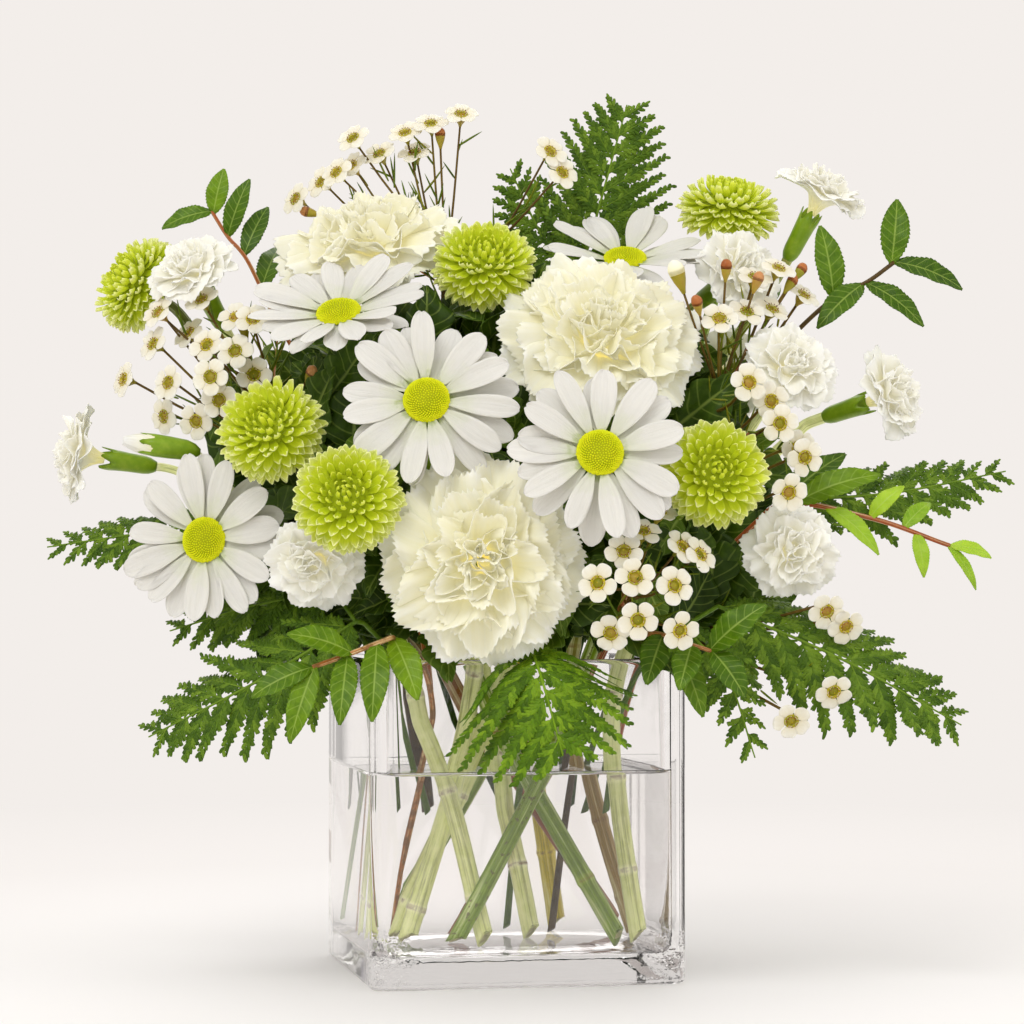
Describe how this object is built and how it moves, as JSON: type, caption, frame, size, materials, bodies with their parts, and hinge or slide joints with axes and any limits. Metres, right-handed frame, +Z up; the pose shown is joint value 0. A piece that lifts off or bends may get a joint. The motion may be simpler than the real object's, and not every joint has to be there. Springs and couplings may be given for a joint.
{
  "type": "floral table centerpiece",
  "caption": "Round centrepiece of cream carnations, white daisies, green button mums, spray carnations, wax flower and fern in a square clear glass vase with water.",
  "frame": {"origin": "centre of the vase's flat underside, on the table", "axes": "+Z up, the vase's front face towards -Y and square with the axes; the bouquet's best side is turned 11.3 degrees clockwise from it, seen from above"},
  "size_m": [0.3848, 0.2778, 0.364],
  "materials": {
    "clear_glass": "clear pressed glass with a thick base",
    "water": "still clear water",
    "cream_petal": "soft matt petal",
    "white_petal": "soft matt petal",
    "disc_floret": "grainy yellow-green disc",
    "green_petal": "soft matt lime petal",
    "green_stem": "smooth green stem, calyx and leaf",
    "fern_blade": "dull green frond",
    "glossy_leaf": "glossy dark green leaf",
    "wax_floret": "waxy cream floret"
  },
  "bodies": {
    "root": {"glass_vase": "clear_glass", "water": "water", "carnation_top_petals": "cream_petal", "carnation_right_petals": "cream_petal", "carnation_front_petals": "cream_petal", "carnation_back_petals": "cream_petal", "carnation_top_stem": "green_stem", "carnation_right_stem": "green_stem", "carnation_front_stem": "green_stem", "carnation_back_stem": "green_stem", "daisy_top_left_petals": "white_petal", "daisy_centre_petals": "white_petal", "daisy_left_petals": "white_petal", "daisy_right_petals": "white_petal", "daisy_top_right_petals": "white_petal", "daisy_back_petals": "white_petal", "daisy_top_left_disc": "disc_floret", "daisy_centre_disc": "disc_floret", "daisy_left_disc": "disc_floret", "daisy_right_disc": "disc_floret", "daisy_top_right_disc": "disc_floret", "daisy_back_disc": "disc_floret", "daisy_left_stem": "green_stem", "daisy_right_stem": "green_stem", "mum_far_left_head": "green_petal", "mum_top_head": "green_petal", "mum_left_head": "green_petal", "mum_front_head": "green_petal", "mum_top_right_head": "green_petal", "mum_right_head": "green_petal", "mum_back_head": "green_petal", "mum_back_left_head": "green_petal", "mum_left_stem": "green_stem", "mum_right_stem": "green_stem", "spray_upper_left_petals": "white_petal", "spray_far_left_petals": "white_petal", "spray_low_left_petals": "white_petal", "spray_upper_right_petals": "white_petal", "spray_far_right_petals": "white_petal", "spray_low_right_petals": "white_petal", "spray_top_right_petals": "white_petal", "spray_top_petals": "white_petal", "spray_back_petals": "white_petal", "spray_back_right_petals": "white_petal", "spray_left_stem": "green_stem", "spray_right_stem": "green_stem", "spray_back_stem": "green_stem", "wax_left": "wax_floret", "wax_right": "wax_floret", "fern_top": "fern_blade", "fern_right": "fern_blade", "fern_low_right": "fern_blade", "fern_front": "fern_blade", "fern_low_left": "fern_blade", "fern_left": "fern_blade", "fern_back_left": "fern_blade", "fern_back_right": "fern_blade", "sprig_top_right": "glossy_leaf", "sprig_left": "glossy_leaf", "sprig_right": "glossy_leaf"}
  },
  "joints": []
}
